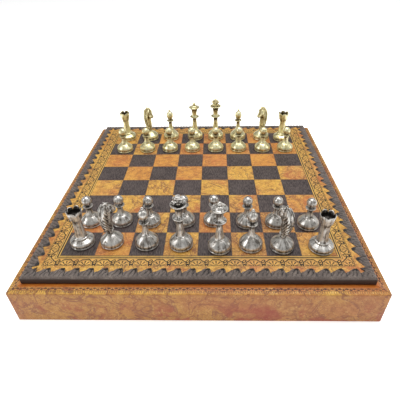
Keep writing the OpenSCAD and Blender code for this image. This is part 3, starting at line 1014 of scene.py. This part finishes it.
def case_covering():
    """Leather wrapped over the walls, mitred on the rim and turned down inside the opening."""
    bm = box_bmesh(CASE_HALF, CASE_FOOT, RIM_TOP)
    opening = 153.2 * MM
    rounded = 2.2 * MM
    bottom = CASE_FOOT + TOUCH
    bmesh.ops.delete(bm, geom=[f for f in bm.faces if f.normal.z < -UPRIGHT], context="FACES")
    round_edges(bm, lambda a, b: a.z > bottom or b.z > bottom, rounded)
    settle_top(bm)
    for at in (-opening, opening):
        cut_plane(bm, (at, 0, 0), (1, 0, 0))
        cut_plane(bm, (0, at, 0), (0, 1, 0))
    upper = [f for f in bm.faces if f.normal.z > UPRIGHT]
    hole = [f for f in upper if max(map(abs, f.calc_center_median().xy)) < opening]
    bmesh.ops.delete(bm, geom=hole, context="FACES")
    lip = [e for e in bm.edges if e.is_boundary and e.verts[0].co.z > bottom]
    grown = bmesh.ops.extrude_edge_only(bm, edges=lip)["geom"]
    bmesh.ops.translate(bm, vec=(0, 0, -4 * MM), verts=verts_of(grown))
    near_top = RIM_TOP - TOUCH
    round_edges(bm, lambda a, b: min(a.z, b.z) > near_top and max(abs(a.x), abs(a.y)) < opening + MM,
                0.7 * MM, 3)
    for shift in (-0.5 * MM, 0, 0.5 * MM):
        for way in (-1, 1):
            cut_plane(bm, (shift, 0, 0), (1, way, 0))
    away_from_corner = CASE_HALF - 4 * MM
    cut_into(bm, 11 * MM, away_from_corner)
    for v in bm.verts:
        if v.co.z > near_top and abs(abs(v.co.x) - abs(v.co.y)) < TOUCH:
            v.co.z -= 0.3 * MM
        elif min(abs(v.co.x), abs(v.co.y)) < away_from_corner:
            sway = noise.noise(v.co * 22) * 0.12 * MM
            if abs(v.co.z - RIM_TOP) < TOUCH:
                v.co.z -= abs(sway)
            elif max(abs(v.co.x), abs(v.co.y)) > CASE_HALF - TOUCH:
                v.co.xy = v.co.xy * (1 - abs(sway) / CASE_HALF)
    bmesh.ops.recalc_face_normals(bm, faces=bm.faces)
    mesh = plain_mesh(bm, "case_covering")
    mesh = thickened(mesh, CASE_SKIN, use_even_offset=True)
    mesh.shade_smooth()
    mesh.set_sharp_from_angle(angle=math.radians(50))
    piece(mesh, "case_covering", "case", CASE_LEATHER, "map_leather", "side_covering", "rim_covering")


def cut_into(bm, step, reach):
    """Cuts a shell into strips in both directions, so that it can sway."""
    count = int(2 * reach / step)
    for i in range(count + 1):
        at = -reach + i * 2 * reach / count
        for normal in ((1, 0, 0), (0, 1, 0)):
            cut_plane(bm, (at, at, 0), normal)


# ---------------------------------------------------------------- board

EDGE_DROP = 2.6 * MM


def settle_top(bm):
    """Insets the large top face, so that it shades flat up to its rounded edge."""
    top = max(bm.faces, key=lambda f: f.calc_area() if f.normal.z > UPRIGHT else 0)
    bmesh.ops.inset_region(bm, faces=[top], thickness=0.3 * MM)


def board_covering():
    """Printed leather over the board's top, drawn down over its rounded edge."""
    bm = box_bmesh(CORE_HALF + 1.0 * MM, CORE[0][2] + 0.1 * MM, PLAY)
    bmesh.ops.delete(bm, geom=[f for f in bm.faces if f.normal.z < -UPRIGHT], context="FACES")
    top = PLAY - TOUCH
    round_edges(bm, lambda a, b: max(a.z, b.z) > top, EDGE_DROP, 6)
    settle_top(bm)
    cut_into(bm, 2 * SQUARE, FIELD_HALF)
    bmesh.ops.recalc_face_normals(bm, faces=bm.faces)
    mesh = plain_mesh(bm, "board_covering")
    mesh = thickened(mesh, BOARD_SKIN, use_even_offset=True)
    mesh.shade_smooth()
    mesh.set_sharp_from_angle(angle=math.radians(40))
    piece(mesh, "board_covering", "board", BOARD_LEATHER, "board_leather", "board_face", "edge_strip")


def board_panel():
    """The fibreboard inside the board, its upper edge rounded under the leather."""
    bm = box_bmesh(CORE_HALF - 0.02 * MM, CORE[0][2], CORE[1][2] - 0.02 * MM)
    top = CORE[1][2] - TOUCH
    round_edges(bm, lambda a, b: max(a.z, b.z) > top, EDGE_DROP - 0.9 * MM, 5)
    mesh = mesh_from(bm, "board_panel")
    mesh.set_sharp_from_angle(angle=math.radians(40))
    piece(mesh, "board_panel", "board", FIBREBOARD, "wood", "board_core")


ACROSS = 30
ALONG = 20
TIP = 0.80
STRAP_OUTLINE = [
    (0, 6.9), (0.25, 9.0), (0.5, 11.2), (0.68, 12.7), (0.78, 13.2), (0.86, 12.9), (0.92, 11.6), (0.96, 9.2),
    (1, 6.9),
]


def strap_reach(s):
    """How far a strap reaches in from the board's edge, in millimetres; s runs 0 to 1 along the edge."""
    for (s0, r0), (s1, r1) in zip(STRAP_OUTLINE, STRAP_OUTLINE[1:]):
        if s <= s1:
            return r0 + (r1 - r0) * (s - s0) / (s1 - s0)
    return STRAP_OUTLINE[-1][1]


def strap_height(s, away, strap):
    """Height of the lacing over the board, in millimetres, at a point measured in from the edge, and how much
    painted shade it takes there in its hole, folds, seams and creases.
    """
    hole_s, hole_d = TIP - 0.03, 11.3
    gap = (hole_s - s) * PITCH / MM
    deep = hole_d - away
    far = math.hypot(gap, deep)
    sway = noise.noise(Vector((strap * 3.1, s * 2.0, away * 0.25)))
    turn = math.atan2(gap, deep + 0.001)
    pleat = math.sin(turn * 6.5 + 1.2 * sway + strap)
    bunch = math.exp(-((far - 3.2) / 3.4) ** 2)
    slant = math.sin((s * 13.75 - away * 0.55) * 1.5 + 2.2 * sway)
    height = 0.92 + 0.50 * pleat * bunch + 0.42 * slant * min(1, far / 6)
    height += 0.35 * math.exp(-((far - 2.6) / 1.1) ** 2)
    pit = math.exp(-(far / 2.2) ** 2)
    crease = gap + 0.25 * deep
    fold = math.exp(-(crease / 0.40) ** 2) * max(0.0, min(1.0, deep / 1.5)) * math.exp(-(deep / 5.0) ** 2)
    join = min(s, 1 - s) * PITCH / MM
    seam = math.exp(-(join / 0.5) ** 2) * max(0.0, min(1.0, (away - 1.5) / 2))
    # painted shade in the troughs of the slant and the pleats
    crease = 0.42 * max(0.0, -slant) ** 2 * min(1, far / 5) + 0.45 * max(0.0, -pleat) ** 2 * bunch
    return max(0.16, height - 1.2 * pit - 0.7 * fold - 0.5 * seam), max(pit, 0.8 * fold, 0.6 * seam, crease)


def strap_point(x, v):
    """A point of the front lacing: x along the side 0 to 1, v from the straps' tips to under the board."""
    strap = min(STRAPS - 1, int(x * STRAPS))
    s = x * STRAPS - strap
    along = -BOARD_HALF + 2 * BOARD_HALF * x
    radius = 3.0 * MM
    low = CORE[0][2] - 1.2 * MM + 0.06 * MM
    top_run = strap_reach(s) * MM - radius
    arc = math.pi / 2 * radius
    under = 0.9 * MM
    drop = PLAY + 0.9 * MM - radius - low - under
    tab = 4.4 * MM
    lengths = [top_run, arc, drop, math.pi / 2 * under, tab]
    shares = [0.46, 0.16, 0.16, 0.08, 0.14]
    band_at = 0
    while band_at < 4 and v > shares[band_at] + 1e-9:
        v -= shares[band_at]
        band_at += 1
    run = lengths[band_at] * v / shares[band_at]
    if band_at == 0:
        away = strap_reach(s) - run / MM
        tip_fade = min(1.0, run / (0.7 * MM))
        height, pit = strap_height(s, away, strap)
        height = height * math.sqrt(tip_fade) - 0.25 * (1 - tip_fade)
        return along, -BOARD_HALF + away * MM, PLAY + height * MM, pit
    ripple = 0.10 * noise.noise(Vector((along * 260, band_at, 0))) * MM
    if band_at == 1:
        turn = run / radius
        height, pit = strap_height(s, 3.0, strap)
        height = height * (1 - math.sin(turn)) + 0.9 * math.sin(turn)
        reach = radius - 0.12 * MM
        return (along, -BOARD_HALF + radius - reach * math.sin(turn) + ripple,
                PLAY + height * MM - radius + radius * math.cos(turn), pit * (1 - math.sin(turn)))
    if band_at == 2:
        return along, -BOARD_HALF + 0.12 * MM + ripple, PLAY + 0.9 * MM - radius - run, 0.0
    if band_at == 3:
        turn = run / under
        return (along, -BOARD_HALF + under + (0.12 * MM + ripple) * math.cos(turn) - under * math.cos(turn),
                low + under - under * math.sin(turn), 0.0)
    return along, -BOARD_HALF + under + run, low, 0.0


def side_lacing(name, turn):
    """One side's lacing: 24 straps that rise to a pleated tip and wrap round under the board."""
    bm = bmesh.new()
    bmesh.ops.create_grid(bm, x_segments=STRAPS * ALONG, y_segments=ACROSS, size=0.5)
    # the painted shade of holes, folds, seams and creases, kept as the pit attribute
    pit_shades = bm.verts.layers.float.new("pit")
    for v in bm.verts:
        x, depth = v.co.x + 0.5, 0.5 - v.co.y
        along, y, z, v[pit_shades] = strap_point(x, depth)
        edge_gap = BOARD_HALF - abs(along)
        reach_in = y + BOARD_HALF
        if reach_in > edge_gap:
            # the ends are cut back to the corner's mitre
            along = math.copysign(BOARD_HALF - reach_in, along)
        v.co = (along, y, z)
    bmesh.ops.recalc_face_normals(bm, faces=bm.faces)
    upper = (f for f in bm.faces if f.calc_center_median().z > PLAY)
    if next(f for f in upper if abs(f.calc_center_median().x) < 20 * MM).normal.z < 0:
        bmesh.ops.reverse_faces(bm, faces=bm.faces)
    bmesh.ops.transform(bm, matrix=Matrix.Rotation(math.radians(turn), 4, "Z"), verts=bm.verts)
    mesh = plain_mesh(bm, name)
    mesh = thickened(mesh, LACE_SKIN)
    mesh.shade_smooth()
    mark_recesses(mesh, 1, 0.8)
    piece(mesh, name + "_leather", "board", LACE_LEATHER, "lace_leather", name)


def lacing():
    for name, turn in (("front_lace", 0), ("right_lace", 90), ("back_lace", 180), ("left_lace", -90)):
        side_lacing(name, turn)


# ---------------------------------------------------------------- carried nodes


def finish_nodes():
    """Gives the frame's own parts their materials."""
    walls = bare_board("wall_board")
    groups = {
        RED_FELT: ["base_felt"],
        walls: ["floor_panel"] + [f"{side}_{part}" for side in ("front", "back", "left", "right")
                                  for part in ("wall", "rail", "batten")],
        RED_FLOCK: ["floor_lining", "wall_lining", "divider_across", "divider_along", "board_backing"],
    }
    for material, names in groups.items():
        for name in names:
            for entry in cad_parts[name].material_slots:
                entry.material = material


# ---------------------------------------------------------------- studio


def camera():
    """Looks down on the front of the board from a little right of its middle."""
    yaw, pitch, roll = math.radians(-1.712), math.radians(35.765), math.radians(-1.182)
    ahead = Vector((math.sin(yaw) * math.cos(pitch), math.cos(yaw) * math.cos(pitch), -math.sin(pitch)))
    right = Vector((math.cos(yaw), -math.sin(yaw), 0))
    up = right.cross(ahead)
    across = math.cos(roll) * right + math.sin(roll) * up
    upward = -math.sin(roll) * right + math.cos(roll) * up
    data = bpy.data.cameras.new("camera")
    data.sensor_width = 36
    data.lens = 31.525
    data.shift_x = -0.01638
    data.shift_y = -0.00982
    data.clip_start = 0.01
    data.clip_end = 50
    obj = in_scene("camera", data)
    facing = Matrix((across, upward, -ahead)).transposed().to_4x4()
    obj.matrix_world = Matrix.Translation((0.01735, -0.38054, 0.29676)) @ facing
    bpy.context.scene.camera = obj


def softbox(name, place, target, size, power, tint=(1, 1, 1)):
    data = bpy.data.lights.new(name, "AREA")
    data.shape = "RECTANGLE"
    data.size, data.size_y = size
    data.energy = power
    data.color = tint
    obj = in_scene(name, data)
    aim = Vector(target) - Vector(place)
    obj.matrix_world = Matrix.Translation(place) @ aim.to_track_quat("-Z", "Y").to_matrix().to_4x4()


def surroundings():
    """A white tent with a darker band half-way up, so that the metal has something to mirror."""
    world = bpy.data.worlds.new("tent")
    bpy.context.scene.world = world
    world.use_nodes = True
    tree = world.node_tree
    tree.nodes.clear()
    coordinate = add_node(tree, "ShaderNodeTexCoord")
    parts = add_node(tree, "ShaderNodeSeparateXYZ", {}, {"Vector": coordinate.outputs["Generated"]})
    greys = [(0.0, 0.62), (0.12, 0.46), (0.36, 0.10), (1.0, 0.55)]
    stops = [(height, (grey, grey, grey, 1)) for height, grey in greys]
    ramp = add_node(tree, "ShaderNodeValToRGB", {"stops": stops}, {"Fac": parts.outputs["Z"]})
    background = add_node(tree, "ShaderNodeBackground", {}, {"Color": ramp.outputs["Color"], "Strength": 1.0})
    add_node(tree, "ShaderNodeOutputWorld", {}, {"Surface": background.outputs["Background"]})


def studio():
    finish = Finish("white_sweep", Roughness=0.9, Emission_Strength=0.58)
    vector, _ = finish.place()
    white = finish.mix(finish.grain(vector, 300, 1) * 0.02, (1.0, 1.0, 1.0, 1), (0.96, 0.96, 0.96, 1))
    finish.colour(white)
    finish.feed("Emission Color", white)
    bm = bmesh.new()
    bmesh.ops.create_grid(bm, x_segments=8, y_segments=8, size=6)
    mesh = plain_mesh(bm, "sweep")
    mesh.materials.append(finish.material)
    in_scene("sweep", mesh)
    softbox("overhead", (0.1, 0.25, 1.5), (0, 0, 0), (1.3, 0.9), 16)
    softbox("left_fill", (-1.3, -0.5, 0.9), (0, 0, 0.02), (0.6, 0.7), 5.6)
    softbox("right_fill", (1.4, 0.1, 0.9), (0, 0, 0.02), (0.6, 0.7), 3.3)
    softbox("front_fill", (0.5, -1.5, 0.8), (0, 0, 0.02), (0.8, 0.5), 0.9)
    bpy.context.scene.view_settings.view_transform = "Standard"


camera()
studio()
surroundings()
finish_nodes()
case_covering()
board_panel()
board_covering()
lacing()
men()
